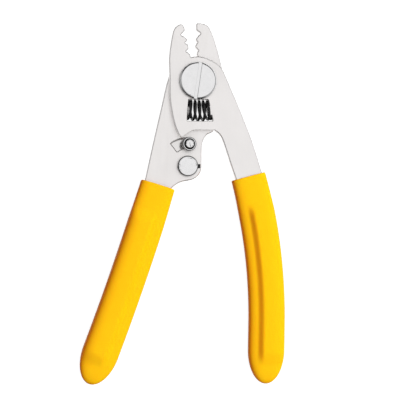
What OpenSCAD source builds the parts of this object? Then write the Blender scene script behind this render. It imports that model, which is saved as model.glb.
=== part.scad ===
// Fibre stripper: two spring-opened steel levers on a slotted pivot screw, with a thumb latch.
// The origin is on the pivot axis, at the rear face of the nut on which the tool lies.
// +Z runs along the pivot axis towards the screw's slot, +Y towards the jaws.

/* [Plates] */
// Thickness of each steel lever
plate_t = 2.5; // [2:0.1:3]
// Running gap between the levers, and under the screw head
plate_gap = 0.05; // [0.03:0.01:0.08]
// Radius of the levers round the pivot
boss_r = 11; // [10.6:0.1:11.6]
// Half-width of each lever beside the pivot
web_w = 12.7; // [12:0.1:13.2]
// Distance from the pivot axis down to the bottom edge of the front lever's web
web_l = 22.2; // [21.4:0.1:23]
// Distance from the pivot axis to the tip of the front lever's catch tooth
catch_r = 26.6; // [25.8:0.1:26.8]

/* [Jaws] */
// Reach of the jaws from the pivot axis
jaw_l = 26.6; // [25:0.1:32]
// Width of each jaw at its root
jaw_w = 11.8; // [11.2:0.1:12.2]
// Angle of the front lever's cutting edge from +Y when the tool stands open
front_edge_a = 14.2; // [13:0.1:16]
// Angle of the back lever's cutting edge from +Y
back_edge_a = 1.5; // [0:0.1:2.5]
// Width of the mouth of the notch for a cable jacket
jacket_w = 4.3; // [3.6:0.1:4.8]
// Depth of the notch for a cable jacket
jacket_d = 2.15; // [1.6:0.05:2.6]
// Radius at the bottom of the notch for a cable jacket
jacket_r = 0.6; // [0.4:0.05:1]
// Width of the mouth of the notch for a fibre buffer
buffer_w = 2.4; // [2:0.1:3]
// Depth of the notch for a fibre buffer
buffer_d = 1.1; // [0.8:0.05:1.4]
// Radius at the bottom of the notch for a fibre buffer
buffer_r = 0.35; // [0.2:0.05:0.5]
// Width of the mouth of the notch for a fibre coating
coating_w = 3.9; // [3:0.1:4.2]
// Depth of the notch for a fibre coating
coating_d = 1.5; // [1:0.05:2]
// Radius at the bottom of the notch for a fibre coating
coating_r = 0.3; // [0.15:0.05:0.4]

/* [Pivot] */
// Radius of the screw's shank in the levers
shank_r = 4; // [3:0.1:5]
// Running clearance round the shanks of the screw and the rivet
pin_clear = 0.05; // [0.02:0.01:0.1]
// Radius of the screw's head
head_r = 8.4; // [7.5:0.1:9]
// Height of the screw's head
head_h = 1.9; // [1.5:0.1:2.5]
// Width of the chamfer round the screw's head
head_chamfer = 0.8; // [0.4:0.1:1]
// Height of the chamfer round the screw's head
head_chamfer_h = 0.6; // [0.4:0.05:0.9]
// Width of the screwdriver slot
slot_w = 1.5; // [1:0.1:2]
// Depth of the screwdriver slot
slot_d = 1; // [0.6:0.1:1.3]
// Turn of the screwdriver slot from +Y
slot_a = 8.2; // [0:0.1:30]
// Thickness of the nut
nut_t = 2.6; // [2.4:0.1:4]
// Distance across the flats of the nut
nut_af = 12; // [10:0.5:14]
// Radius of the thread
thread_r = 2.5; // [2:0.1:2.8]

/* [Spring] */
// Distance from the pivot axis down to the spring's own axis
spring_y = 13.3; // [13:0.1:13.5]
// Mean radius of the spring's coils
coil_r = 4.25; // [3.8:0.05:4.3]
// Radius of the spring wire
wire_r = 0.55; // [0.4:0.05:0.6]
// Number of turns
coils = 5.5; // [4.5:0.5:6]
// Half-length of the gap that the spring fills, along its own axis
seat_x = 5.3; // [5:0.1:5.6]
// Sideways offset of the spring's middle from the pivot
spring_x = 0.7; // [0.4:0.1:1]
// Lean of the left seat from +Y
left_seat_a = -4; // [-6:0.5:0]
// Lean of the right seat from +Y
right_seat_a = 12.5; // [8:0.5:14]

/* [Latch] */
// Place of the latch rivet
rivet_x = -4.3; // [-4.6:0.1:-4]
rivet_y = -38.4; // [-38.8:0.1:-38]
// Radius of the rivet's shank
rivet_r = 2; // [1.5:0.1:2.5]
// Radius of the rivet's disc head
disc_r = 4.6; // [4:0.1:5]
// Height of the rivet's disc head
disc_h = 1.8; // [1.2:0.1:2.2]
// Radius of the rivet's formed rear head
formed_r = 3.2; // [3:0.1:3.6]
// Radius of the back lever's lobe round the rivet
lobe_r = 6.4; // [6:0.1:6.8]
// Distance from the rivet to the latch knob
knob_reach = 9.8; // [9.5:0.1:10.2]
// Turn of the knob from +Y about the rivet when the latch is off
knob_a = -2.7; // [-4:0.1:-1]
// Travel of the latch to its other end
latch_travel = 28; // [24:1:30]
// Radius of the knob's stem where it runs in the slot
stem_r = 1.6; // [1.3:0.05:1.65]
// Inner radius of the slot about the rivet
slot_in_r = 8; // [7.8:0.05:8.1]
// Outer radius of the slot about the rivet
slot_out_r = 12.4; // [12.1:0.05:12.5]
// Radius of the knob's collar
collar_r = 3.1; // [2.8:0.1:3.4]
// Radius of the button on the knob's collar
button_r = 1.95; // [1.5:0.05:2.2]
// Clearance between the knob's stem and each end of its slot
stem_clear = 0.3; // [0.2:0.05:0.5]
// Thickness of the latch lever
lever_t = 1.2; // [0.8:0.1:1.4]
// Thickness of the tabbed spring washer
washer_t = 0.4; // [0.3:0.05:0.5]

/* [Grips] */
// Width of each grip
grip_w = 16.4; // [15.5:0.1:17]
// Width of each handle where it enters its grip
tang_w = 12.3; // [11.5:0.1:12.6]
// Width of each handle at its end inside the grip
tang_end_w = 8; // [7:0.1:9]
// Length of each handle inside its grip
tang_l = 74; // [60:1:76]
// Length of each grip along its middle
grip_l = 94; // [88:0.5:98]
// Length of the grip's rounded end
grip_end_l = 15; // [13:0.5:16]
// Thickness of the grip beside its raised back
grip_t = 7.2; // [6.9:0.1:8]
// Height of the raised back over the rest of the grip, on each face
ridge_h = 1.45; // [1:0.05:1.5]
// Distance from the grip's middle to the shoulder of the raised back
ridge_u = 3; // [2:0.1:4]

/* [Hidden] */
$fn = 96;
eps = 0.01;

// Levels, counted up from the resting plane
back_z = nut_t;
front_z = back_z + plate_t + plate_gap;
head_z = front_z + plate_t + plate_gap;
mid_z = back_z + plate_t + plate_gap / 2;
rivet = [rivet_x, rivet_y];
disc_z = back_z + plate_t + washer_t;
steel = [0.86, 0.86, 0.87];
bright_steel = [0.8, 0.8, 0.82];
yellow = [1, 0.76, 0.02];

// ---- Helpers ----
function on_circle(r, a) = [r * cos(a), r * sin(a)];
function unit(v) = v / norm(v);
function turned(points, a) =
    [for (p = points) [p[0] * cos(a) - p[1] * sin(a), p[0] * sin(a) + p[1] * cos(a)]];
function lerp(a, b, t) = a + (b - a) * t;
function ease(t) = let (c = min(1, max(0, t))) c * c * (3 - 2 * c);

// A smooth curve through points, with n steps from each to the next
function curve(points, n = 4) = let (last = len(points) - 1) concat(
    [for (i = [0 : last - 1], j = [0 : n - 1])
        let (a = points[max(i - 1, 0)], b = points[i], c = points[i + 1], d = points[min(i + 2, last)],
             t = j / n)
        b + t / 2 * (c - a + t * (2 * a - 5 * b + 4 * c - d + t * (3 * b - 3 * c + d - a)))],
    [points[last]]);

// A closed outline with each corner rounded to radius r
function rounded(points, r, n = 4) = [for (i = [0 : len(points) - 1])
    let (q = points[i],
         u = unit(points[(i + len(points) - 1) % len(points)] - q),
         v = unit(points[(i + 1) % len(points)] - q),
         half = acos(u * v) / 2,
         centre = q + unit(u + v) * r / sin(half),
         from = q + u * r / tan(half) - centre,
         to = q + v * r / tan(half) - centre)
    for (j = [0 : n]) centre + r * unit(lerp(from, to, j / n))];

// ---- Handle lines ----
// A handle's middle line leaves its mouth at one angle from -Y, turned outwards, and bends evenly to another.
// side is 1 for the right handle and -1 for the left one.
function handle(side) = side > 0
    ? [[23.35, -42.85], 15.2, -1, 67]
    : [[-17.7, -46.95], 17, 20.5, 75];
function heading(side, s) = let (h = handle(side)) h[1] + (h[2] - h[1]) * min(s / h[3], 1);
function middle(side, s) = let (
        h = handle(side),
        bend = (h[2] - h[1]) / h[3] * PI / 180,
        a = heading(side, s),
        rest = max(0, s - h[3]))
    h[0] + [side * ((cos(h[1]) - cos(a)) / bend + rest * sin(h[2])),
            -((sin(a) - sin(h[1])) / bend + rest * cos(h[2]))];
// The point u to the outside of the middle line at distance s
function beside(side, s, u) = let (a = heading(side, s)) middle(side, s) + u * [side * cos(a), sin(a)];

// The part of a lever inside its grip, from the outer corner of the mouth to the inner one
function tang_half(s) = lerp(tang_w, tang_end_w, s / tang_l) / 2;
function tang(side) = concat(
    [for (s = [0 : tang_l / 6 : tang_l - tang_end_w / 2]) beside(side, s, tang_half(s))],
    [for (a = [80 : -20 : -80])
        beside(side, tang_l - tang_end_w / 2 * (1 - cos(a)), tang_end_w / 2 * sin(a))],
    [for (s = [tang_l - tang_l / 6 : -tang_l / 6 : 0]) beside(side, s, -tang_half(s))]);

// ---- Levers ----
// The outline of a jaw whose cutting edge lies on +Y, from the root of that edge round the nose and down
// its back, as shares of the jaw's width and reach
front_jaw = [[0.04, 0.42], [0.04, 0.585], [0, 0.72], [0, 0.9], [0.02, 0.955], [0.067, 0.99], [0.14, 1],
             [0.24, 0.99], [0.36, 0.96], [0.46, 0.905], [0.61, 0.765], [0.74, 0.625], [0.87, 0.466]];
back_jaw = [[0.05, 0.42], [-0.026, 0.577], [0.005, 0.716], [0.03, 0.9], [0.025, 0.96], [0.055, 0.99],
            [0.14, 0.995], [0.36, 0.975], [0.5, 0.935], [0.57, 0.88], [0.7, 0.73], [0.85, 0.49],
            [0.98, 0.225]];
function jaw(profile) = [for (p = curve(profile, 3)) [p[0] * jaw_w, p[1] * jaw_l]];

// Place of each notch along a jaw as a share of its reach, and how far each one's bottom is off its middle
jacket_at = 0.805;
buffer_at = 0.664;
coating_at = 0.504;
bottom_off = [0.35, 0.2, 0.65];
front_share = 1.2;
back_share = 0.65;
jaw_root = [1, -2];

// A notch with a round bottom, cut into a jaw at distance r from the pivot
module notch(r, w, d, bottom, off) {
    linear_extrude(plate_t + 2 * eps) {
        polygon([[-1, r - w / 2], [-1, r + w / 2], [0, r + w / 2],
                 [d - bottom, r + off + bottom], [d - bottom, r + off - bottom], [0, r - w / 2]]);
        translate([d - bottom, r + off]) circle(bottom, $fn = 24);
    }
}

// share is how deep the two small notches go on this jaw, of their full depths
module notches(share) {
    translate([0, 0, -eps]) {
        notch(jaw_l * jacket_at, jacket_w, jacket_d, jacket_r, bottom_off[0]);
        notch(jaw_l * buffer_at, buffer_w, buffer_d * share, buffer_r, bottom_off[1]);
        notch(jaw_l * coating_at, coating_w, coating_d * share, coating_r, bottom_off[2]);
    }
}

// The gap in both levers that holds the spring
window_clear = 0.15;
window_round = 0.45;
window_top = spring_y - coil_r - wire_r - window_clear;
window_bottom = spring_y + coil_r + wire_r + window_clear;
function seat_edge(x, a, y) = x + (y - spring_y) * tan(a);
left_x = spring_x - seat_x;
right_x = spring_x + seat_x;
module window() {
    translate([0, 0, -eps]) linear_extrude(plate_t + 2 * eps)
        polygon(rounded([
            [seat_edge(left_x, left_seat_a, window_top), -window_top],
            [seat_edge(right_x, right_seat_a, window_top), -window_top],
            [seat_edge(right_x, right_seat_a, window_bottom), -window_bottom],
            [seat_edge(left_x, left_seat_a, window_bottom), -window_bottom]], window_round));
}

// The tongue on a seat that keeps the spring from jumping out
tongue_w = coil_r;
tongue_l = 1.7;
tongue_root = 2;
module tongue(x, dir) {
    translate([x, -spring_y, 0]) scale([dir, 1, 1]) linear_extrude(plate_t)
        polygon([[-tongue_root, tongue_w / 2], [tongue_l * 0.6, tongue_w / 2], [tongue_l, tongue_w / 4],
                 [tongue_l, -tongue_w / 4], [tongue_l * 0.6, -tongue_w / 2], [-tongue_root, -tongue_w / 2]]);
}

module front_lever_plate() {
    outer = curve([[6.2, 9.4], [10.6, 6.2], [13.5, 0.3], [19.3, -13.1], [24.6, -26.6],
                   beside(1, 0, tang_w / 2)]);
    inner = curve([beside(1, 0, -tang_w / 2), [14.5, -36], [12.2, -28.9], [10.3, -24.6], [7.6, -web_l]]);
    tooth = [catch_r * -0.27, -catch_r * 0.963];
    tail = curve([[1, -web_l], [-2.6, -web_l - 0.4], tooth]);
    jaw_line = turned([for (p = jaw(front_jaw)) [-p[0], p[1]]], front_edge_a);
    left = curve([tooth, [-9.3, -web_l - 0.7], [1.6 - web_w, -web_l * 0.78], [0.15 - web_w, -8.6],
                  [-web_w, 0], jaw_line[len(jaw_line) - 1]]);
    color(steel) translate([0, 0, front_z]) {
        difference() {
            union() {
                linear_extrude(plate_t) polygon(concat(outer, tang(1), inner, tail, left, [[0, 9]]));
                linear_extrude(plate_t) polygon(concat(jaw_line, [jaw_root]));
                cylinder(r = boss_r, h = plate_t);
            }
            rotate(front_edge_a) mirror([1, 0, 0]) notches(front_share);
            translate([0, 0, -eps]) cylinder(r = shank_r + pin_clear, h = plate_t + 2 * eps);
            window();
        }
        tongue(right_x, -1);
    }
}

module back_lever_plate() {
    outer = curve([beside(-1, 0, tang_w / 2), [-19.5, -26.6], [-16.4, -13.1], [-13.6, -1], [-11.6, 4],
                   [-7.5, 8]]);
    right = curve([[jaw_w * 0.8, 6], [web_w - 0.6, 0], [web_w, -6], [web_w - 0.5, -13], [10.6, -18.5],
                   [7.2, -22.6], [4.4, -24.2], [2.8, -26.8], [2.2, -30], [rivet_x + lobe_r, rivet_y]]);
    foot = curve([[rivet_x + 1.2, rivet_y - lobe_r + 0.1], [rivet_x - 2, rivet_y - lobe_r - 0.5],
                  [rivet_x - 4.3, rivet_y - lobe_r - 1.4], [rivet_x - 6.2, rivet_y - lobe_r - 2.7],
                  beside(-1, 0, -tang_w / 2)]);
    inside = tang(-1);
    color(steel) translate([0, 0, back_z]) {
        difference() {
            union() {
                linear_extrude(plate_t)
                    polygon(concat([[0, 6]], right, [rivet], foot,
                                   [for (i = [len(inside) - 1 : -1 : 0]) inside[i]], outer));
                linear_extrude(plate_t) polygon(turned(concat(jaw(back_jaw), [jaw_root]), back_edge_a));
                cylinder(r = boss_r, h = plate_t);
                translate(rivet) cylinder(r = lobe_r, h = plate_t);
            }
            rotate(back_edge_a) notches(back_share);
            translate([0, 0, -eps]) cylinder(r = shank_r + pin_clear, h = plate_t + 2 * eps);
            translate([rivet_x, rivet_y, -eps]) cylinder(r = rivet_r + pin_clear, h = plate_t + 2 * eps);
            window();
            latch_slot();
        }
        tongue(left_x, 1);
    }
}

// The curved slot that the knob's stem runs in, with square ends a little past both ends of its travel
slot_end_a = asin((stem_r + stem_clear) / knob_reach);
module latch_slot() {
    translate([rivet_x, rivet_y, -eps]) rotate(90 + knob_a - slot_end_a)
        rotate_extrude(angle = latch_travel + 2 * slot_end_a)
            translate([slot_in_r, 0]) square([slot_out_r - slot_in_r, plate_t + 2 * eps]);
}

// ---- Pivot ----
module pivot_screw() {
    color(bright_steel) difference() {
        union() {
            cylinder(r = thread_r, h = back_z + eps);
            translate([0, 0, back_z]) cylinder(r = shank_r, h = head_z - back_z + eps);
            translate([0, 0, head_z]) cylinder(r = head_r, h = head_h - head_chamfer_h);
            translate([0, 0, head_z + head_h - head_chamfer_h])
                cylinder(r1 = head_r, r2 = head_r - head_chamfer, h = head_chamfer_h);
        }
        rotate(-slot_a) translate([-slot_w / 2, -head_r - 1, head_z + head_h - slot_d])
            cube([slot_w, 2 * head_r + 2, slot_d + eps]);
    }
}

module pivot_nut() {
    nut_r = nut_af / sqrt(3);
    color(bright_steel) difference() {
        intersection() {
            cylinder(r = nut_r, h = nut_t, $fn = 6);
            union() {
                cylinder(r1 = nut_af / 2 + 0.1, r2 = nut_r + 0.1, h = nut_r - nut_af / 2);
                translate([0, 0, nut_r - nut_af / 2]) cylinder(r = nut_r + 0.1, h = nut_t);
            }
        }
        translate([0, 0, -eps]) cylinder(r = thread_r + pin_clear, h = nut_t + 2 * eps);
    }
}

// ---- Spring ----
// One closed skin round a helix whose turns fan out between the two seats
wire_sides = 6;
steps = 16;
end_turn = 0.5;
seat_gap = 0.04;
spring_a = left_x + wire_r + seat_gap;
spring_b = right_x - wire_r - seat_gap;
function spring_point(u, grow = 0) =
    let (t = min(1, max(0, (u * coils - end_turn) / (coils - 2 * end_turn))),
         lean = lerp(left_seat_a, right_seat_a, t), turn = 360 * coils * u, r = coil_r + grow)
    [lerp(spring_a, spring_b, t) - r * cos(turn) * sin(lean), -spring_y + r * cos(turn) * cos(lean),
     mid_z + r * sin(turn)];

module return_spring() {
    rings = coils * steps;
    points = [for (i = [0 : rings])
        let (t = i / rings,
             here = spring_point(t),
             ahead = unit(spring_point(t + 0.001) - spring_point(t - 0.001)),
             out = unit(spring_point(t, 1) - here),
             side = cross(ahead, out))
        for (j = [0 : wire_sides - 1])
            here + wire_r * (out * cos(360 * j / wire_sides) + side * sin(360 * j / wire_sides))];
    last = rings * wire_sides;
    color([0.09, 0.09, 0.1]) polyhedron(points, concat(
        [[for (j = [0 : wire_sides - 1]) wire_sides - 1 - j]],
        [for (i = [0 : rings - 1], j = [0 : wire_sides - 1])
            let (a = i * wire_sides + j, b = i * wire_sides + (j + 1) % wire_sides)
            [a, b, b + wire_sides, a + wire_sides]],
        [[for (j = [0 : wire_sides - 1]) last + j]]));
}

// ---- Latch ----
lever_z = back_z - lever_t;
rest_gap = 0.3;
formed_h = lever_z - washer_t - rest_gap;
knob = rivet + knob_reach * on_circle(1, 90 + knob_a);
foot_r = stem_r - 0.5;
lever_rim = 0.9;
lever_fan_a = latch_travel + 14;

// A fan of sheet that turns on the rivet and closes the slot from behind
module latch_lever() {
    color(steel) translate([0, 0, lever_z]) difference() {
        union() {
            translate(rivet) cylinder(r = formed_r + 1.2, h = lever_t);
            translate(knob) cylinder(r = collar_r, h = lever_t);
            translate(rivet) rotate(90 + knob_a)
                rotate_extrude(angle = lever_fan_a) square([slot_out_r + lever_rim, lever_t]);
            translate(rivet) rotate(90 + knob_a) translate([0, -collar_r, 0])
                cube([knob_reach, 2 * collar_r, lever_t]);
        }
        translate([rivet_x, rivet_y, -eps]) cylinder(r = rivet_r + pin_clear, h = lever_t + 2 * eps);
        translate([knob[0], knob[1], -eps]) cylinder(r = foot_r, h = lever_t + 2 * eps);
    }
}

// The stem runs through the slot; the collar and its button stand over the front lever
collar_z = head_z + plate_gap;
collar_h = 1.1;
button_h = 2.4;
groove = 0.5;
soft = 0.3;
module latch_knob() {
    color(bright_steel) translate(knob) {
        translate([0, 0, lever_z]) cylinder(r = foot_r, h = lever_t + eps);
        translate([0, 0, back_z]) cylinder(r = stem_r, h = collar_z - back_z + eps);
        translate([0, 0, collar_z]) rotate_extrude() polygon([
            [0, 0], [collar_r, 0], [collar_r, collar_h - soft], [collar_r - soft, collar_h],
            [collar_r - 2 * soft, collar_h], [button_r, collar_h - groove],
            [button_r, button_h - soft], [button_r - soft, button_h], [0, button_h]]);
    }
}

module latch_rivet() {
    color(bright_steel) translate(rivet) {
        translate([0, 0, rest_gap]) rotate_extrude() polygon([
            [0, 0], [formed_r - 0.5, 0], [formed_r, 0.4], [formed_r, formed_h], [0, formed_h]]);
        translate([0, 0, rest_gap + formed_h - eps])
            cylinder(r = rivet_r, h = disc_z - rest_gap - formed_h + 2 * eps);
        translate([0, 0, disc_z]) rotate_extrude() polygon([
            [0, 0], [disc_r, 0], [disc_r, disc_h - 0.5], [disc_r - 0.5, disc_h], [0, disc_h]]);
    }
}

// The washer's tab shows beside the disc head and lies on the lobe
tab_w = 1.8;
tab_r = 5.8;
module latch_spring_washer() {
    color([0.12, 0.12, 0.13]) translate([rivet_x, rivet_y, back_z + plate_t]) difference() {
        union() {
            cylinder(r = disc_r - 0.3, h = washer_t);
            translate([0, -tab_w / 2, 0]) cube([tab_r, tab_w, washer_t]);
        }
        translate([0, 0, -eps]) cylinder(r = rivet_r + pin_clear, h = washer_t + 2 * eps);
    }
}

module latch_rivet_washer() {
    color(bright_steel) translate([rivet_x, rivet_y, lever_z - washer_t]) difference() {
        cylinder(r = formed_r + 0.5, h = washer_t);
        translate([0, 0, -eps]) cylinder(r = rivet_r + pin_clear, h = washer_t + 2 * eps);
    }
}

// ---- Grips ----
// A grip is a skin of rings along the handle's middle line. Each ring is a flattened round section,
// higher over the raised back, which takes the outer part of the width on both faces.
ring_sides = 28;
mouth_rings = 3;
body_rings = 24;
end_rings = 8;
ridge_from = 15;
ridge_to = grip_l - 11;
mouth_round = 0.8;
mouth_taper = 0.3;
taper_l = 20;
grip_s = concat(
    [for (i = [0 : mouth_rings - 1]) mouth_round * (1 - cos(90 * i / mouth_rings))],
    [for (i = [0 : body_rings]) lerp(mouth_round, grip_l - grip_end_l, i / body_rings)],
    [for (i = [1 : end_rings]) grip_l - grip_end_l * (1 - sin(87 * i / end_rings))]);
function end_share(s) = let (e = max(0, s - grip_l + grip_end_l) / grip_end_l) sqrt(max(0, 1 - e * e));
function mouth_cut(s) = let (m = max(0, mouth_round - s) / mouth_round)
    0.45 * mouth_round * (1 - sqrt(1 - m * m));
function half_width(s) = (grip_w / 2 - mouth_taper * (1 - ease(s / taper_l))) * end_share(s) - mouth_cut(s);
function half_height(s, u) =
    (grip_t / 2 - mouth_cut(s)) * pow(end_share(s), 0.8)
    + ridge_h * ease((u + ridge_u + 1.5) / 3) * ease((s - ridge_from) / 7 + 0.5)
      * ease((ridge_to - s) / 7 + 0.5);
// A ring's corner j, in the grip's own across and up directions
function section(s, j) = let (
        a = 360 * j / ring_sides,
        c = cos(a), d = sin(a),
        u = half_width(s) * sign(c) * pow(abs(c), 0.75))
    [u, half_height(s, u) * sign(d) * pow(abs(d), 0.62)];

module grip(side) {
    points = [for (s = grip_s, j = [0 : ring_sides - 1])
        let (p = section(s, j), q = beside(side, s, p[0])) [q[0], q[1], mid_z + p[1]]];
    count = len(grip_s);
    last = (count - 1) * ring_sides;
    skin = concat(
        [[for (j = [0 : ring_sides - 1]) j]],
        [for (i = [0 : count - 2], j = [0 : ring_sides - 1])
            let (a = i * ring_sides + j, b = i * ring_sides + (j + 1) % ring_sides)
            [a, a + ring_sides, b + ring_sides, b]],
        [[for (j = [0 : ring_sides - 1]) last + ring_sides - 1 - j]]);
    polyhedron(points, side > 0 ? skin : [for (f = skin) [for (i = [len(f) - 1 : -1 : 0]) f[i]]]);
}

// The space in a grip for its handle
module tang_pocket(side, z) {
    ahead = [side * sin(heading(side, 0)), -cos(heading(side, 0))];
    translate([0, 0, z]) linear_extrude(plate_t)
        polygon(concat([beside(side, 0, tang_w / 2) - ahead], tang(side),
                       [beside(side, 0, -tang_w / 2) - ahead]));
}

module left_grip() {
    color(yellow) difference() {
        grip(-1);
        tang_pocket(-1, back_z);
    }
}

module right_grip() {
    color(yellow) difference() {
        grip(1);
        tang_pocket(1, front_z);
    }
}

back_lever_plate();
front_lever_plate();
pivot_screw();
pivot_nut();
return_spring();
latch_lever();
latch_knob();
latch_rivet();
latch_spring_washer();
latch_rivet_washer();
left_grip();
right_grip();
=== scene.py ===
"""Looks of a fibre stripper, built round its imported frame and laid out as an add-on."""

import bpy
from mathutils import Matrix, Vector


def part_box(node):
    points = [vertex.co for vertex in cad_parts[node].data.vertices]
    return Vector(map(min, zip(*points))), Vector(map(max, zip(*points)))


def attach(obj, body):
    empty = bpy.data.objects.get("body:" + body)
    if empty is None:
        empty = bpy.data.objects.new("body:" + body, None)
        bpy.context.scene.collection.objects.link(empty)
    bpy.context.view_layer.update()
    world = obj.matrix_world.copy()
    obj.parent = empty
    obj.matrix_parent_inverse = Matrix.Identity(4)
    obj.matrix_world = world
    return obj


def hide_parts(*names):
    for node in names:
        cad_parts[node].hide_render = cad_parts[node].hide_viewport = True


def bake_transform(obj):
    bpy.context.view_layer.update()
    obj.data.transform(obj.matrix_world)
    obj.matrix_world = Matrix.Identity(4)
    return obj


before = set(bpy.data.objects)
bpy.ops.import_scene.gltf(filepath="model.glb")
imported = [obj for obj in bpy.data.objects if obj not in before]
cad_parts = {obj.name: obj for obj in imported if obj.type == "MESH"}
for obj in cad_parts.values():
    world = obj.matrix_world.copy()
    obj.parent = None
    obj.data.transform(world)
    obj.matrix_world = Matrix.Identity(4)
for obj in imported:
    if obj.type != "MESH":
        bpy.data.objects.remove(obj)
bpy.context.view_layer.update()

import math

import bmesh
import bpy
import numpy as np
from bpy.props import FloatProperty, FloatVectorProperty, PointerProperty
from mathutils import Matrix, Vector
from mathutils.geometry import delaunay_2d_cdt

bl_info = {
    "name": "Fibre stripper",
    "version": (1, 0, 0),
    "blender": (4, 5, 0),
    "location": "View3D > Sidebar > Stripper",
    "description": "Dresses a fibre stripper: steel levers, spring, latch, sleeve grips and a plain studio",
    "category": "Object",
}

MM = 0.001
LEVERS = {"back_lever_plate": "back_lever", "front_lever_plate": "front_lever"}
# Boxes, in millimetres, where a lever's broken edge has another share of its usual width
EDGE_ZONES = {
    "back_lever_plate": [((-14, -29.5, -2, -24), 1.6)],
    "front_lever_plate": [((-9, -27, 8, -20.5), 0.3), ((-8, -20, 11, -6.5), 0.4)],
}
# Points closer than this are one point
WELD = 0.002 * MM
# How far a face may lie off the top of a sheet piece and still belong to it
LEVEL_SLACK = 0.02 * MM
# Rows of points along a broken edge, as shares of its width
EDGE_ROWS = (0.45, 0.72, 1, 1.3)
# The key lamp, in metres and watts, and the place it aims at
KEY_PLACE, KEY_SIZE, KEY_POWER = (0.7, 0.25, 0.75), 0.5, 7.5
KEY_AIM = (0, -0.05, 0)
# The point in the plane of the levers at the middle of the view, in millimetres
VIEW_MIDDLE = (1.35, -53.64)
FLOOR_GREY, FLOOR_GLOW = 0.4, 0.85

# Levels and places that come from the frame
BACK_LOW, BACK_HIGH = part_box("back_lever_plate")
FRONT_LOW, FRONT_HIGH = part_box("front_lever_plate")
SCREW_LOW, SCREW_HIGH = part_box("pivot_screw")
DISC_LOW, DISC_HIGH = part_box("latch_rivet")
KNOB_LOW, KNOB_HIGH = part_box("latch_knob")
MID_Z = (BACK_HIGH.z + FRONT_LOW.z) / 2
RIVET = (DISC_LOW + DISC_HIGH) / 2
KNOB = (KNOB_LOW + KNOB_HIGH) / 2


# ---- Sizes and finishes a user would change ----
class StripperSizes(bpy.types.PropertyGroup):
    """Sizes of the modelled pieces"""

    grip_width: FloatProperty(
        name="Grip width", description="Width of each sleeve grip", default=16.4 * MM, unit="LENGTH")
    grip_length: FloatProperty(
        name="Grip length", description="Length of each grip along its middle",
        default=94 * MM, unit="LENGTH")
    grip_end: FloatProperty(
        name="Grip end", description="Length of the rounded end of a grip", default=15 * MM, unit="LENGTH")
    grip_thickness: FloatProperty(
        name="Grip thickness", description="Thickness beside the raised back",
        default=7.2 * MM, unit="LENGTH")
    ridge_height: FloatProperty(
        name="Ridge height", description="Height of the raised back on each face",
        default=1.45 * MM, unit="LENGTH")
    ridge_shoulder: FloatProperty(
        name="Ridge shoulder", description="From a grip's middle to the shoulder of its raised back",
        default=3 * MM, unit="LENGTH")
    tang_width: FloatProperty(
        name="Tang width", description="Width of a handle where it enters its grip",
        default=12.3 * MM, unit="LENGTH")
    wire_radius: FloatProperty(
        name="Wire radius", description="Radius of the spring wire", default=0.62 * MM, unit="LENGTH")
    coils: FloatProperty(
        name="Turns", description="Turns of the spring, with its two closed half turns", default=5.5)
    edge_round: FloatProperty(
        name="Edge round", description="Width of the broken edge on the stamped levers", default=0.42 * MM,
        unit="LENGTH")


class StripperFinish(bpy.types.PropertyGroup):
    """Colours of the finishes"""

    steel: FloatVectorProperty(
        name="Steel", description="Satin steel of the levers",
        default=(0.87, 0.845, 0.835), subtype="COLOR")
    fastener: FloatVectorProperty(
        name="Fasteners", description="Turned steel of the screw and rivet", default=(0.8, 0.795, 0.8),
        subtype="COLOR")
    sheet: FloatVectorProperty(
        name="Latch sheet", description="Bright sheet of the latch lever", default=(0.78, 0.76, 0.75),
        subtype="COLOR")
    oxide: FloatVectorProperty(
        name="Black oxide", description="Blackened spring steel",
        default=(0.012, 0.012, 0.013), subtype="COLOR")
    vinyl: FloatVectorProperty(
        name="Vinyl", description="Yellow sleeve grips", default=(1.0, 0.54, 0.003), subtype="COLOR")


class StripperStage(bpy.types.PropertyGroup):
    """The plain studio round the tool"""

    camera_height: FloatProperty(
        name="Camera height", description="Camera above the levers", default=0.8, unit="LENGTH")
    view_width: FloatProperty(
        name="View width", description="Width of the plane of the levers in the view",
        default=0.18, unit="LENGTH")
    lean: FloatProperty(
        name="Lean", description="Degrees that the camera leans to the left of straight above", default=8.0)
    dip: FloatProperty(
        name="Dip", description="Degrees that the camera leans towards the grips", default=3.0)
    floor_size: FloatProperty(
        name="Floor size", description="Width of the pale floor", default=6.0, unit="LENGTH")


# ---- Material helpers ----
def new_material(name):
    """An empty node material with its Principled shader, and a function that adds and links nodes."""
    material = bpy.data.materials.new(name)
    material.use_nodes = True
    tree = material.node_tree
    shader = tree.nodes["Principled BSDF"]

    def add(kind, inputs=None, **settings):
        node = tree.nodes.new(kind)
        for key, value in settings.items():
            setattr(node, key, value)
        for key, value in (inputs or {}).items():
            if isinstance(value, bpy.types.NodeSocket):
                tree.links.new(value, node.inputs[key])
            else:
                node.inputs[key].default_value = value
        return node

    def link(out, socket):
        tree.links.new(out, shader.inputs[socket])

    return material, shader, add, link


def place(add, scale=(1, 1, 1), location=(0, 0, 0)):
    """Coordinates in the tool's own frame, in metres."""
    where = add("ShaderNodeTexCoord").outputs["Object"]
    return add("ShaderNodeMapping", {"Vector": where, "Scale": scale, "Location": location}).outputs["Vector"]


def ramp(add, value, low, high, start=0.0, end=1.0):
    """A value carried from one range to another."""
    return add("ShaderNodeMapRange", {
        "Value": value, "From Min": low, "From Max": high, "To Min": start, "To Max": end}).outputs["Result"]


def tint(add, factor, first, second):
    """A colour between two others."""
    node = add("ShaderNodeMix", data_type="RGBA")
    node.inputs["A"].default_value = (*first, 1)
    node.inputs["B"].default_value = (*second, 1)
    node.id_data.links.new(factor, node.inputs["Factor"])
    return node.outputs["Result"]


def shade(colour, amount):
    return tuple(channel * amount for channel in colour[:3])


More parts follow.
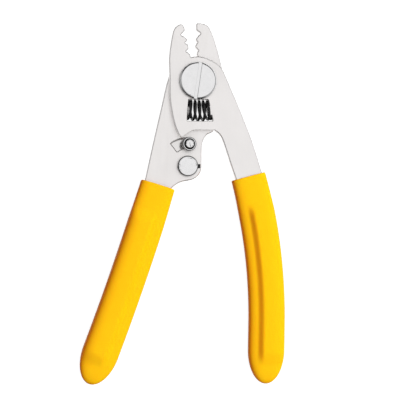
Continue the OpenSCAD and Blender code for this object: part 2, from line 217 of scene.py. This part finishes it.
# ---- Materials ----
def satin_steel(colour):
    """Bead-blasted stainless steel with a faint cloudiness and a fine grain."""
    material, shader, add, link = new_material("satin_steel")
    cloud = add("ShaderNodeTexNoise", {"Vector": place(add), "Scale": 60.0, "Detail": 3.0}).outputs["Fac"]
    grain = add("ShaderNodeTexNoise", {"Vector": place(add), "Scale": 5200.0, "Detail": 2.0}).outputs["Fac"]
    lines = add("ShaderNodeTexNoise", {
        "Vector": place(add, scale=(3000, 90, 3000)), "Scale": 1.0, "Detail": 2.0}).outputs["Fac"]
    link(tint(add, ramp(add, cloud, 0.3, 0.7), shade(colour, 0.97), shade(colour, 1.02)), "Base Color")
    shader.inputs["Metallic"].default_value = 1.0
    link(ramp(add, lines, 0.3, 0.7, 0.36, 0.46), "Roughness")
    bump = add("ShaderNodeBump", {"Height": grain, "Strength": 0.12, "Distance": 0.00002})
    link(bump.outputs["Normal"], "Normal")
    return material


def bright_sheet(colour):
    """Smooth cold-rolled sheet with faint rolling lines."""
    material, shader, add, link = new_material("bright_sheet")
    lines = add("ShaderNodeTexNoise", {
        "Vector": place(add, scale=(2500, 120, 2500)), "Scale": 1.0, "Detail": 2.0}).outputs["Fac"]
    link(tint(add, ramp(add, lines, 0.3, 0.7), shade(colour, 0.96), colour), "Base Color")
    shader.inputs["Metallic"].default_value = 1.0
    link(ramp(add, lines, 0.3, 0.7, 0.12, 0.18), "Roughness")
    return material


def turned_steel(colour, name, centre=(0, 0), painted_shade_bands=(), dark=(0.02, 0.02, 0.022)):
    """Steel faced on a lathe: fine rings about a centre, and a painted dark shade between each listed pair of
    radii."""
    material, shader, add, link = new_material(name)
    spot = place(add, location=(-centre[0], -centre[1], 0))
    flat = add("ShaderNodeVectorMath", {0: spot, 1: (1, 1, 0)}, operation="MULTIPLY").outputs["Vector"]
    radius = add("ShaderNodeVectorMath", {0: flat}, operation="LENGTH").outputs["Value"]
    rings = add("ShaderNodeMath", {0: radius, 1: 21000.0}, operation="MULTIPLY").outputs["Value"]
    wave = add("ShaderNodeMath", {0: rings}, operation="SINE").outputs["Value"]
    cloud = add("ShaderNodeTexNoise", {"Vector": place(add), "Scale": 400.0, "Detail": 3.0}).outputs["Fac"]
    base = tint(add, ramp(add, cloud, 0.3, 0.7), shade(colour, 0.97), shade(colour, 1.02))
    # Painted shade: each band is a dark ring on a chamfer or side wall, standing in for dark reflections and
    # the shadowed gap round the part.
    for low, high in painted_shade_bands:
        off = add("ShaderNodeMath", {0: radius, 1: (low + high) / 2}, operation="SUBTRACT").outputs["Value"]
        gap = add("ShaderNodeMath", {0: off}, operation="ABSOLUTE").outputs["Value"]
        half = (high - low) / 2
        node = add("ShaderNodeMix", {
            "Factor": ramp(add, gap, half + 0.03 * MM, half - 0.03 * MM)}, data_type="RGBA")
        material.node_tree.links.new(base, node.inputs["A"])
        node.inputs["B"].default_value = (*dark, 1)
        base = node.outputs["Result"]
    link(base, "Base Color")
    shader.inputs["Metallic"].default_value = 1.0
    link(ramp(add, cloud, 0.3, 0.7, 0.14, 0.2), "Roughness")
    bump = add("ShaderNodeBump", {"Height": wave, "Strength": 0.15, "Distance": 0.00001})
    link(bump.outputs["Normal"], "Normal")
    return material


def black_oxide(colour):
    """Oiled black oxide on spring steel, rubbed a little where it is touched."""
    material, shader, add, link = new_material("black_oxide")
    cloud = add("ShaderNodeTexNoise", {"Vector": place(add), "Scale": 900.0, "Detail": 4.0}).outputs["Fac"]
    link(tint(add, ramp(add, cloud, 0.45, 0.8), colour, (0.035, 0.033, 0.032)), "Base Color")
    shader.inputs["Metallic"].default_value = 0.6
    link(ramp(add, cloud, 0.3, 0.7, 0.22, 0.4), "Roughness")
    bump = add("ShaderNodeBump", {"Height": cloud, "Strength": 0.1, "Distance": 0.00002})
    link(bump.outputs["Normal"], "Normal")
    return material


def vinyl(colour):
    """Smooth dipped vinyl: a soft sheen, a faint orange peel, a little light let in, and painted shade: a
    deeper orange on steep faces, most of all on faces turned to the left, over a faint random tone.
    """
    material, shader, add, link = new_material("sleeve_vinyl_painted_shade")
    cloud = add("ShaderNodeTexNoise", {"Vector": place(add), "Scale": 55.0, "Detail": 2.0}).outputs["Fac"]
    peel = add("ShaderNodeTexNoise", {"Vector": place(add), "Scale": 900.0, "Detail": 3.0}).outputs["Fac"]
    # Painted shade: faces turned to the left, or steeply away from straight up, take a deep orange as if lit
    # from the right; a faint noise adds random tone.
    facing = add("ShaderNodeSeparateXYZ", {"Vector": add("ShaderNodeTexCoord").outputs["Normal"]}).outputs
    flat = add("ShaderNodeMath", {0: facing["Z"]}, operation="ABSOLUTE").outputs["Value"]
    lit_facing = add("ShaderNodeMath", {0: facing["X"], 1: 0.6, 2: flat}, operation="MULTIPLY_ADD").outputs["Value"]
    lit_facing_and_tone = add("ShaderNodeMath", {0: cloud, 1: 0.06, 2: lit_facing}, operation="MULTIPLY_ADD").outputs["Value"]
    painted_shade_orange = (colour[0] * 0.72, colour[1] * 0.36, colour[2])
    link(tint(add, ramp(add, lit_facing_and_tone, 0.15, 0.97), painted_shade_orange, colour), "Base Color")
    link(ramp(add, peel, 0.3, 0.7, 0.38, 0.46), "Roughness")
    shader.inputs["Specular IOR Level"].default_value = 0.06
    shader.inputs["Subsurface Weight"].default_value = 0.3
    shader.inputs["Subsurface Radius"].default_value = (1.0, 0.35, 0.05)
    shader.inputs["Subsurface Scale"].default_value = 2.5 * MM
    bump = add("ShaderNodeBump", {"Height": peel, "Strength": 0.08, "Distance": 0.00004})
    link(bump.outputs["Normal"], "Normal")
    return material


# ---- Mesh helpers ----
def mesh_object(name, points, faces, material):
    """A smooth mesh object from points and faces."""
    mesh = bpy.data.meshes.new(name)
    mesh.from_pydata([tuple(p) for p in points], [], faces)
    mesh.update()
    work = bmesh.new()
    work.from_mesh(mesh)
    bmesh.ops.recalc_face_normals(work, faces=work.faces)
    work.to_mesh(mesh)
    work.free()
    mesh.polygons.foreach_set("use_smooth", [True] * len(mesh.polygons))
    mesh.materials.append(material)
    piece = bpy.data.objects.new(name, mesh)
    bpy.context.scene.collection.objects.link(piece)
    return piece


def skin(rings):
    """The points and faces of a closed tube through rings of equally many points."""
    sides = len(rings[0])
    points = [p for ring in rings for p in ring]
    faces = [tuple(range(sides))[::-1]]
    for i in range(len(rings) - 1):
        for j in range(sides):
            a, b = i * sides + j, i * sides + (j + 1) % sides
            faces.append((a, b, b + sides, a + sides))
    last = (len(rings) - 1) * sides
    faces.append(tuple(last + j for j in range(sides)))
    return points, faces


def dress(node, material, edge=None, segments=3, angle=35):
    """Gives a CAD node a material and broken edges."""
    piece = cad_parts[node]
    piece.data.materials.clear()
    piece.data.materials.append(material)
    if edge:
        weld = piece.modifiers.new("weld", "WELD")
        weld.merge_threshold = WELD
        bevel = piece.modifiers.new("broken_edges", "BEVEL")
        bevel.width = edge
        bevel.segments = segments
        bevel.limit_method = "ANGLE"
        bevel.angle_limit = math.radians(angle)
        bevel.use_clamp_overlap = False
        bevel.harden_normals = True
        bevel.miter_outer = "MITER_ARC"
    return piece


def ease(t):
    t = min(1.0, max(0.0, t))
    return t * t * (3 - 2 * t)


# ---- Sheet pieces ----
def face_loops(node, level):
    """Closed outlines of the flat top of a CAD node, with the metal on the left of each."""
    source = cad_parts[node]
    work = bmesh.new()
    work.from_mesh(source.data)
    work.transform(source.matrix_world)
    bmesh.ops.remove_doubles(work, verts=work.verts, dist=WELD)
    top = {f for f in work.faces
           if f.normal.z > 0.9 and abs(f.calc_center_median().z - level) < LEVEL_SLACK}
    onward = {}
    for face in top:
        for loop in face.loops:
            if sum(f in top for f in loop.edge.link_faces) == 1:
                onward[loop.vert] = loop.link_loop_next.vert
    loops = []
    while onward:
        start = next(iter(onward))
        chain, at = [], start
        while at in onward:
            chain.append((at.co.x / MM, at.co.y / MM))
            at = onward.pop(at)
        loops.append(np.array(chain))
    work.free()
    return loops


def refine(loop, step=0.5, corner=26):
    """Resamples an outline in millimetres: sharp corners stay, and shallow facets become smooth curves."""
    ahead = np.roll(loop, -1, axis=0) - loop
    length = np.linalg.norm(ahead, axis=1)
    keep = length > 1e-4
    loop, ahead, length = loop[keep], ahead[keep], length[keep]
    way = ahead / length[:, None]
    before = np.roll(way, 1, axis=0)
    sharp = np.sum(way * before, axis=1) < math.cos(math.radians(corner))
    tangent = way * length[:, None] + before * np.roll(length, 1)[:, None]
    tangent /= np.linalg.norm(tangent, axis=1)[:, None]
    out = []
    count = len(loop)
    for i in range(count):
        j = (i + 1) % count
        leave = way[i] if sharp[i] else tangent[i]
        arrive = way[i] if sharp[j] else tangent[j]
        parts = max(1, math.ceil(length[i] / step))
        for k in range(parts):
            t = k / parts
            out.append((2 * t ** 3 - 3 * t ** 2 + 1) * loop[i] + (t ** 3 - 2 * t ** 2 + t) * length[i] * leave
                       + (3 * t ** 2 - 2 * t ** 3) * loop[j] + (t ** 3 - t ** 2) * length[i] * arrive)
    return np.array(out)


def distance_to(points, loops):
    """Distance from each point to the nearest outline."""
    best = np.full(len(points), 1e9)
    for loop in loops:
        a, b = loop, np.roll(loop, -1, axis=0)
        for start in range(0, len(points), 400):
            p = points[start:start + 400, None, :]
            run = (b - a)[None]
            square = np.maximum(np.sum(run * run, axis=2), 1e-12)
            t = np.clip(np.sum((p - a[None]) * run, axis=2) / square, 0, 1)
            gap = np.linalg.norm(p - a[None] - t[..., None] * run, axis=2).min(axis=1)
            best[start:start + 400] = np.minimum(best[start:start + 400], gap)
    return best


def inside(points, loops):
    """Whether each point is on the metal, by counting crossings of all outlines."""
    odd = np.zeros(len(points), bool)
    for loop in loops:
        a, b = loop, np.roll(loop, -1, axis=0)
        x, y = points[:, 0, None], points[:, 1, None]
        spans = (a[None, :, 1] > y) != (b[None, :, 1] > y)
        rise = np.where(b[:, 1] == a[:, 1], 1e-12, b[:, 1] - a[:, 1])
        meet = (b[:, 0] - a[:, 0])[None] * (y - a[None, :, 1]) / rise[None] + a[None, :, 0]
        odd ^= (np.sum(spans & (x < meet), axis=1) % 2).astype(bool)
    return odd


def edge_share(points, zones):
    """How wide the broken edge is at each point, as a share of its usual width. Each zone is a box in
    millimetres and the share inside it."""
    share = np.ones(len(points))
    x, y = points[:, 0], points[:, 1]
    for (x0, y0, x1, y1), value in zones:
        depth = np.minimum.reduce([x - x0, x1 - x, y - y0, y1 - y])
        share += (value - share) * np.clip(depth, 0, 1)
    return share


def sheet_piece(node, body, material, top_edge, zones=(), back_edge=0.2, slope=0.78):
    """Rebuilds a flat sheet piece from the outline of its CAD node, with broken edges on both faces.
    Edge widths are in millimetres, and slope is the fall of a broken edge over its width."""
    low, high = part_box(node)
    low_z, high_z = low.z / MM, high.z / MM
    loops = [refine(loop) for loop in face_loops(node, high.z)]
    rims = np.concatenate(loops)
    rings = []
    for loop in loops:
        run = np.roll(loop, -1, axis=0) - np.roll(loop, 1, axis=0)
        inward = np.stack([-run[:, 1], run[:, 0]], axis=1) / np.linalg.norm(run, axis=1)[:, None]
        share = edge_share(loop, zones)
        for part in EDGE_ROWS:
            depth = top_edge * share * part
            points = loop + inward * depth[:, None]
            gap = distance_to(points, loops)
            rings.append(points[(gap > depth * 0.93) & inside(points, loops)])
    flat = np.concatenate([rims, *rings])
    edges, first = [], 0
    for loop in loops:
        edges += [(first + i, first + (i + 1) % len(loop)) for i in range(len(loop))]
        first += len(loop)
    result = delaunay_2d_cdt([Vector(p) for p in flat], edges, [], 0, 1e-5)
    points = np.array([tuple(p) for p in result[0]])
    faces = np.array([f for f in result[2] if len(f) == 3])
    faces = faces[inside(points[faces].mean(axis=1), loops)]
    gap = distance_to(points, loops)
    gap[gap < 1e-3] = 0

    def drop(width):
        return slope * np.clip(width - gap, 0, None)

    count = len(points)
    upper = np.column_stack([points, high_z - drop(top_edge * edge_share(points, zones))])
    lower = np.column_stack([points, low_z + drop(back_edge)])
    work = bmesh.new()
    verts = [work.verts.new(p * MM) for p in np.concatenate([upper, lower])]
    for a, b, c in faces:
        work.faces.new((verts[a], verts[b], verts[c]))
        work.faces.new((verts[c + count], verts[b + count], verts[a + count]))
    work.verts.index_update()
    rim = [(e.verts[0].index, e.verts[1].index) for e in work.edges
           if len(e.link_faces) == 1 and e.verts[0].index < count and e.verts[1].index < count]
    for a, b in rim:
        work.faces.new((verts[a], verts[a + count], verts[b + count], verts[b]))
    bmesh.ops.recalc_face_normals(work, faces=work.faces)
    bmesh.ops.delete(work, geom=[v for v in work.verts if not v.link_faces], context="VERTS")
    mesh = bpy.data.meshes.new(node + "_finished")
    work.to_mesh(mesh)
    work.free()
    mesh.polygons.foreach_set("use_smooth", [True] * len(mesh.polygons))
    mesh.set_sharp_from_angle(angle=math.radians(28))
    mesh.materials.append(material)
    piece = bpy.data.objects.new(node + "_finished", mesh)
    bpy.context.scene.collection.objects.link(piece)
    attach(piece, body)
    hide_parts(node)
    return piece


# ---- Handle lines ----
class HandleLine:
    """A handle's middle line: it leaves the mouth at one angle from -Y, turned outwards, and bends evenly to
    another over a length, then runs straight."""

    def __init__(self, side, mouth, start, end, bend_length):
        self.side = side
        self.mouth = Vector(mouth) * MM
        self.start = math.radians(start)
        self.end = math.radians(end)
        self.bend_length = bend_length * MM

    def heading(self, s):
        return self.start + (self.end - self.start) * min(s / self.bend_length, 1)

    def beside(self, s, u):
        """The point u to the outside of the line at distance s."""
        angle = self.heading(s)
        bend = (self.end - self.start) / self.bend_length
        rest = max(0.0, s - self.bend_length)
        x = (math.cos(self.start) - math.cos(angle)) / bend + rest * math.sin(self.end)
        y = (math.sin(angle) - math.sin(self.start)) / bend + rest * math.cos(self.end)
        return Vector((self.mouth.x + self.side * (x + u * math.cos(angle)),
                       self.mouth.y - y + u * math.sin(angle)))


HANDLES = {
    "right_grip": HandleLine(1, (23.35, -42.85), 15.2, -1, 67),
    "left_grip": HandleLine(-1, (-17.7, -46.95), 17, 20.5, 75),
}


# ---- Grips ----
class GripForm:
    """The form of a sleeve grip as a function of the distance along it and the angle round it."""

    mouth_round = 0.8 * MM
    ridge_start = 15 * MM
    ridge_slope = 7 * MM
    shoulder_slope = 3 * MM

    def __init__(self, sizes):
        self.sizes = sizes
        self.ridge_end = sizes.grip_length - 11 * MM

    def end_share(self, s):
        past = max(0.0, s - self.sizes.grip_length + self.sizes.grip_end) / self.sizes.grip_end
        return math.sqrt(max(0.0, 1 - past * past))

    def mouth_cut(self, s):
        back = max(0.0, self.mouth_round - s) / self.mouth_round
        return 0.45 * self.mouth_round * (1 - math.sqrt(1 - back * back))

    def half_width(self, s):
        return ((self.sizes.grip_width / 2 - 0.3 * MM * (1 - ease(s / (20 * MM)))) * self.end_share(s)
                - self.mouth_cut(s))

    def half_height(self, s, u):
        flank = (self.sizes.grip_thickness / 2 - self.mouth_cut(s)) * self.end_share(s) ** 0.8
        across = ease((u + self.sizes.ridge_shoulder + self.shoulder_slope / 2) / self.shoulder_slope)
        along = (ease((s - self.ridge_start) / self.ridge_slope + 0.5)
                 * ease((self.ridge_end - s) / self.ridge_slope + 0.5))
        return flank + self.sizes.ridge_height * across * along

    def corner(self, s, angle):
        c, d = math.cos(angle), math.sin(angle)
        u = self.half_width(s) * math.copysign(abs(c) ** 0.75, c)
        return u, self.half_height(s, u) * math.copysign(abs(d) ** 0.62, d)


def grip_stations(form, mouth_steps=6, body_steps=110, end_steps=26):
    """Distances along a grip, close together where it curves."""
    length, end = form.sizes.grip_length, form.sizes.grip_end
    stations = [form.mouth_round * (1 - math.cos(math.pi / 2 * i / mouth_steps)) for i in range(mouth_steps)]
    stations += [form.mouth_round + (length - end - form.mouth_round) * i / body_steps
                 for i in range(body_steps + 1)]
    stations += [length - end * (1 - math.sin(math.radians(88.5) * i / end_steps))
                 for i in range(1, end_steps + 1)]
    return stations


def make_grip(name, body, plate_low, plate_high, material):
    """A sleeve grip with the flat pocket that its handle runs into."""
    sizes = bpy.context.scene.stripper_sizes
    form = GripForm(sizes)
    line = HANDLES[name]
    sides = 112
    gap = 0.12 * MM
    angles = [2 * math.pi * (j + 0.5) / sides for j in range(sides)]

    def pocket(s, grow):
        middle = (plate_low + plate_high) / 2
        half_w = sizes.tang_width / 2 + grow
        half_h = (plate_high - plate_low) / 2 + grow
        ring = []
        for a in angles:
            c, d = math.cos(a), math.sin(a)
            u = half_w * math.copysign(abs(c) ** 0.16, c)
            ring.append((*line.beside(s, u), middle + half_h * math.copysign(abs(d) ** 0.16, d)))
        return ring

    rings = [pocket(3 * MM, gap), pocket(0.25 * MM, gap), pocket(0.02 * MM, 2.2 * gap)]
    for s in grip_stations(form):
        ring = []
        for a in angles:
            u, z = form.corner(s, a)
            ring.append((*line.beside(s, u), MID_Z + z))
        rings.append(ring)
    piece = mesh_object(name + "_sleeve", *skin(rings), material)
    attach(piece, body)
    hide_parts(name)
    return piece


# ---- Spring ----
def make_spring(material):
    """The fanned compression spring, with a closed half turn at each end."""
    sizes = bpy.context.scene.stripper_sizes
    wire = sizes.wire_radius
    seat_gap = 0.04 * MM
    axis_y = -13.3 * MM
    coil = 4.25 * MM
    taper = 0.25 * MM
    tilt = math.radians(-1.5)
    leans = (math.radians(-4), math.radians(12.5))
    ends = (-4.6 * MM + wire + seat_gap, 6 * MM - wire - seat_gap)
    per_turn = 48
    sides = 16
    end_turn = 0.5

    def centre(share, grow=0.0):
        t = min(1.0, max(0.0, (share * sizes.coils - end_turn) / (sizes.coils - 2 * end_turn)))
        lean = leans[0] + (leans[1] - leans[0]) * t
        turn = -2 * math.pi * sizes.coils * share
        swell = 4 * t * (1 - t)
        small = taper * (1 - swell)
        r = coil - small + grow
        return Vector((
            ends[0] + (ends[1] - ends[0]) * t - r * math.cos(turn) * math.sin(lean)
            - r * math.sin(turn) * math.tan(tilt) * swell,
            axis_y + small + r * math.cos(turn) * math.cos(lean),
            MID_Z + r * math.sin(turn)))

    count = int(sizes.coils * per_turn)
    rings = []
    for i in range(count + 1):
        share = i / count
        here = centre(share)
        ahead = (centre(share + 0.001) - centre(share - 0.001)).normalized()
        out = (centre(share, MM) - here).normalized()
        side = ahead.cross(out)
        rings.append([here + wire * (out * math.cos(2 * math.pi * j / sides)
                                     + side * math.sin(2 * math.pi * j / sides)) for j in range(sides)])
    spring = mesh_object("return_spring_coil", *skin(rings), material)
    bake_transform(spring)
    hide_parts("return_spring")
    return spring


# ---- Operators ----
class STRIPPER_OT_levers(bpy.types.Operator):
    """Finish both steel levers"""

    bl_idname = "stripper.levers"
    bl_label = "Steel levers"

    def execute(self, context):
        steel = satin_steel(context.scene.stripper_finish.steel)
        edge = context.scene.stripper_sizes.edge_round / MM
        for node, body in LEVERS.items():
            sheet_piece(node, body, steel, edge, EDGE_ZONES[node])
        return {"FINISHED"}


class STRIPPER_OT_pivot(bpy.types.Operator):
    """Finish the pivot screw and its nut"""

    bl_idname = "stripper.pivot"
    bl_label = "Pivot screw and nut"

    def execute(self, context):
        colour = context.scene.stripper_finish.fastener
        # A painted dark ring of shade round the screw head's side wall.
        flank = [(SCREW_HIGH.x - 0.04 * MM, SCREW_HIGH.x + MM)]
        faced = turned_steel(colour, "pivot_steel_painted_shade", painted_shade_bands=flank)
        dress("pivot_screw", faced, 0.1 * MM, 2)
        dress("pivot_nut", turned_steel(colour, "nut_steel"), 0.12 * MM, 2)
        return {"FINISHED"}


class STRIPPER_OT_spring(bpy.types.Operator):
    """Wind the return spring"""

    bl_idname = "stripper.spring"
    bl_label = "Return spring"

    def execute(self, context):
        make_spring(black_oxide(context.scene.stripper_finish.oxide))
        return {"FINISHED"}


class STRIPPER_OT_latch(bpy.types.Operator):
    """Finish the latch lever, its knob, rivet and washers"""

    bl_idname = "stripper.latch"
    bl_label = "Latch"

    def execute(self, context):
        finish = context.scene.stripper_finish
        sheet_piece("latch_lever", "latch", bright_sheet(finish.sheet), 0.2)
        collar = (KNOB_HIGH.x - KNOB_LOW.x) / 2
        # Painted dark rings of shade round the knob's collar and on its face.
        knob_painted_shade = [(collar - 0.3 * MM, collar + MM), (1.8 * MM, 2.08 * MM)]
        dress("latch_knob", turned_steel(finish.fastener, "knob_steel_painted_shade", KNOB, knob_painted_shade), 0.25 * MM, 4)
        # A painted dark ring of shade round the rivet disc's edge.
        disc = (DISC_HIGH.x - DISC_LOW.x) / 2
        disc_painted_shade = [(disc - 0.35 * MM, disc + MM)]
        dress("latch_rivet", turned_steel(finish.fastener, "rivet_steel_painted_shade", RIVET, disc_painted_shade), 0.35 * MM, 4)
        dress("latch_rivet_washer", turned_steel(finish.fastener, "washer_steel", RIVET), 0.08 * MM, 2)
        dress("latch_spring_washer", black_oxide(finish.oxide), 0.1 * MM, 2)
        return {"FINISHED"}


class STRIPPER_OT_grips(bpy.types.Operator):
    """Mould the two sleeve grips"""

    bl_idname = "stripper.grips"
    bl_label = "Sleeve grips"

    def execute(self, context):
        material = vinyl(context.scene.stripper_finish.vinyl)
        make_grip("left_grip", "back_lever", BACK_LOW.z, BACK_HIGH.z, material)
        make_grip("right_grip", "front_lever", FRONT_LOW.z, FRONT_HIGH.z, material)
        return {"FINISHED"}


def seen_white(nodes, links):
    """1 for the camera, in reflections and through glass, and 0 for all other light."""
    path = nodes.new("ShaderNodeLightPath").outputs
    seen = path["Is Camera Ray"]
    for ray in ("Is Glossy Ray", "Is Transmission Ray"):
        either = nodes.new("ShaderNodeMath")
        either.operation = "MAXIMUM"
        links.new(seen, either.inputs[0])
        links.new(path[ray], either.inputs[1])
        seen = either.outputs["Value"]
    return seen


def make_floor(size):
    """A pale floor that reads as white and still takes the tool's shadow."""
    mesh = bpy.data.meshes.new("floor")
    half = size / 2
    corners = [(-half, -half, 0), (half, -half, 0), (half, half, 0), (-half, half, 0)]
    mesh.from_pydata(corners, [], [(0, 1, 2, 3)])
    floor = bpy.data.objects.new("floor", mesh)
    bpy.context.scene.collection.objects.link(floor)
    material = bpy.data.materials.new("pale_floor")
    material.use_nodes = True
    nodes, links = material.node_tree.nodes, material.node_tree.links
    shader = nodes["Principled BSDF"]
    shader.inputs["Base Color"].default_value = (FLOOR_GREY, FLOOR_GREY, FLOOR_GREY, 1)
    shader.inputs["Roughness"].default_value = 0.9
    shader.inputs["Specular IOR Level"].default_value = 0.1
    lift = nodes.new("ShaderNodeMath")
    lift.operation = "MULTIPLY"
    links.new(seen_white(nodes, links), lift.inputs[0])
    lift.inputs[1].default_value = FLOOR_GLOW
    glow = nodes.new("ShaderNodeEmission")
    links.new(lift.outputs["Value"], glow.inputs["Strength"])
    total = nodes.new("ShaderNodeAddShader")
    links.new(shader.outputs["BSDF"], total.inputs[0])
    links.new(glow.outputs["Emission"], total.inputs[1])
    links.new(total.outputs["Shader"], nodes["Material Output"].inputs["Surface"])
    mesh.materials.append(material)
    return floor


def make_world():
    """A white roof, dimmer to the left, over half-bright side walls and dark ends."""
    world = bpy.data.worlds.new("studio")
    bpy.context.scene.world = world
    world.use_nodes = True
    tree = world.node_tree
    links = tree.links

    def add(kind, inputs, **settings):
        node = tree.nodes.new(kind)
        for key, value in settings.items():
            setattr(node, key, value)
        for key, value in inputs.items():
            if isinstance(value, bpy.types.NodeSocket):
                links.new(value, node.inputs[key])
            else:
                node.inputs[key].default_value = value
        return node.outputs[0]

    way = tree.nodes.new("ShaderNodeTexCoord").outputs["Generated"]
    split = tree.nodes.new("ShaderNodeSeparateXYZ")
    links.new(way, split.inputs["Vector"])
    level = add("ShaderNodeVectorMath", {0: way, 1: (1, 1, 0)}, operation="MULTIPLY")
    reach = tree.nodes.new("ShaderNodeVectorMath")
    reach.operation = "LENGTH"
    links.new(level, reach.inputs[0])
    south = add("ShaderNodeMath", {0: split.outputs["Y"], 1: 0.0}, operation="MINIMUM")
    turned = add("ShaderNodeMath", {0: south, 1: -0.32, 2: split.outputs["X"]}, operation="MULTIPLY_ADD")
    across = add("ShaderNodeMath", {0: turned}, operation="ABSOLUTE")
    side = add("ShaderNodeMath", {0: across, 1: reach.outputs["Value"]}, operation="DIVIDE")
    walls = add("ShaderNodeMapRange", {
        "Value": side, "From Min": 0.7, "From Max": 0.95, "To Min": 0.02, "To Max": 0.42},
        interpolation_type="SMOOTHSTEP")
    roof = add("ShaderNodeMapRange", {
        "Value": split.outputs["Z"], "From Min": 0.35, "From Max": 0.75}, interpolation_type="SMOOTHSTEP")
    cover = add("ShaderNodeMapRange", {
        "Value": split.outputs["X"], "From Min": -0.95, "From Max": -0.45, "To Min": 0.25, "To Max": 1.0},
        interpolation_type="SMOOTHSTEP")
    mixed = tree.nodes.new("ShaderNodeMix")
    links.new(roof, mixed.inputs["Factor"])
    links.new(walls, mixed.inputs["A"])
    links.new(cover, mixed.inputs["B"])
    path = tree.nodes.new("ShaderNodeLightPath")
    seen = tree.nodes.new("ShaderNodeMix")
    links.new(path.outputs["Is Camera Ray"], seen.inputs["Factor"])
    links.new(mixed.outputs["Result"], seen.inputs["A"])
    seen.inputs["B"].default_value = 1.0
    links.new(seen.outputs["Result"], tree.nodes["Background"].inputs["Strength"])
    tree.nodes["Background"].inputs["Color"].default_value = (1, 1, 1, 1)


def add_lamp(name, place, aim, size, power):
    """A soft square lamp that reflections don't show."""
    data = bpy.data.lights.new(name, "AREA")
    data.shape = "SQUARE"
    data.size = size
    data.energy = power
    lamp = bpy.data.objects.new(name, data)
    lamp.location = place
    lamp.rotation_euler = (Vector(aim) - Vector(place)).to_track_quat("-Z", "Y").to_euler()
    lamp.visible_glossy = False
    bpy.context.scene.collection.objects.link(lamp)
    return lamp


class STRIPPER_OT_stage(bpy.types.Operator):
    """Set up the pale floor, the lamp and the camera above the tool"""

    bl_idname = "stripper.stage"
    bl_label = "Studio"

    def execute(self, context):
        stage = context.scene.stripper_stage
        context.scene.view_settings.view_transform = "Standard"
        make_floor(stage.floor_size)
        make_world()
        add_lamp("key_lamp", KEY_PLACE, KEY_AIM, KEY_SIZE, KEY_POWER)
        middle = Vector((VIEW_MIDDLE[0] * MM, VIEW_MIDDLE[1] * MM, MID_Z))
        lean, dip = math.radians(stage.lean), math.radians(stage.dip)
        away = Vector((-math.sin(lean), -math.sin(dip), math.cos(lean) * math.cos(dip))).normalized()
        data = bpy.data.cameras.new("camera")
        data.sensor_width = 36
        data.lens = data.sensor_width * stage.camera_height / stage.view_width
        camera = bpy.data.objects.new("camera", data)
        camera.location = middle + away * stage.camera_height
        across = Vector((0, 1, 0)).cross(away).normalized()
        camera.rotation_euler = Matrix((across, away.cross(across), away)).transposed().to_euler()
        context.scene.collection.objects.link(camera)
        context.scene.camera = camera
        return {"FINISHED"}


class STRIPPER_PT_panel(bpy.types.Panel):
    """The stripper's pieces, sizes and finishes"""

    bl_label = "Fibre stripper"
    bl_idname = "STRIPPER_PT_panel"
    bl_space_type = "VIEW_3D"
    bl_region_type = "UI"
    bl_category = "Stripper"

    def draw(self, context):
        for operator in OPERATORS:
            self.layout.operator(operator.bl_idname)
        for group in (getattr(context.scene, key) for key in GROUPS):
            box = self.layout.box()
            for name in group.__annotations__:
                box.prop(group, name)


GROUPS = {"stripper_sizes": StripperSizes, "stripper_finish": StripperFinish, "stripper_stage": StripperStage}
OPERATORS = (STRIPPER_OT_stage, STRIPPER_OT_levers, STRIPPER_OT_pivot, STRIPPER_OT_spring, STRIPPER_OT_latch,
             STRIPPER_OT_grips)
CLASSES = (*GROUPS.values(), *OPERATORS, STRIPPER_PT_panel)


def register():
    for item in CLASSES:
        bpy.utils.register_class(item)
    for name, group in GROUPS.items():
        setattr(bpy.types.Scene, name, PointerProperty(type=group))


def unregister():
    for name in GROUPS:
        delattr(bpy.types.Scene, name)
    for item in reversed(CLASSES):
        bpy.utils.unregister_class(item)


def main():
    register()
    for operator in OPERATORS:
        group, name = operator.bl_idname.split(".")
        getattr(getattr(bpy.ops, group), name)()


if __name__ == "__main__":
    main()
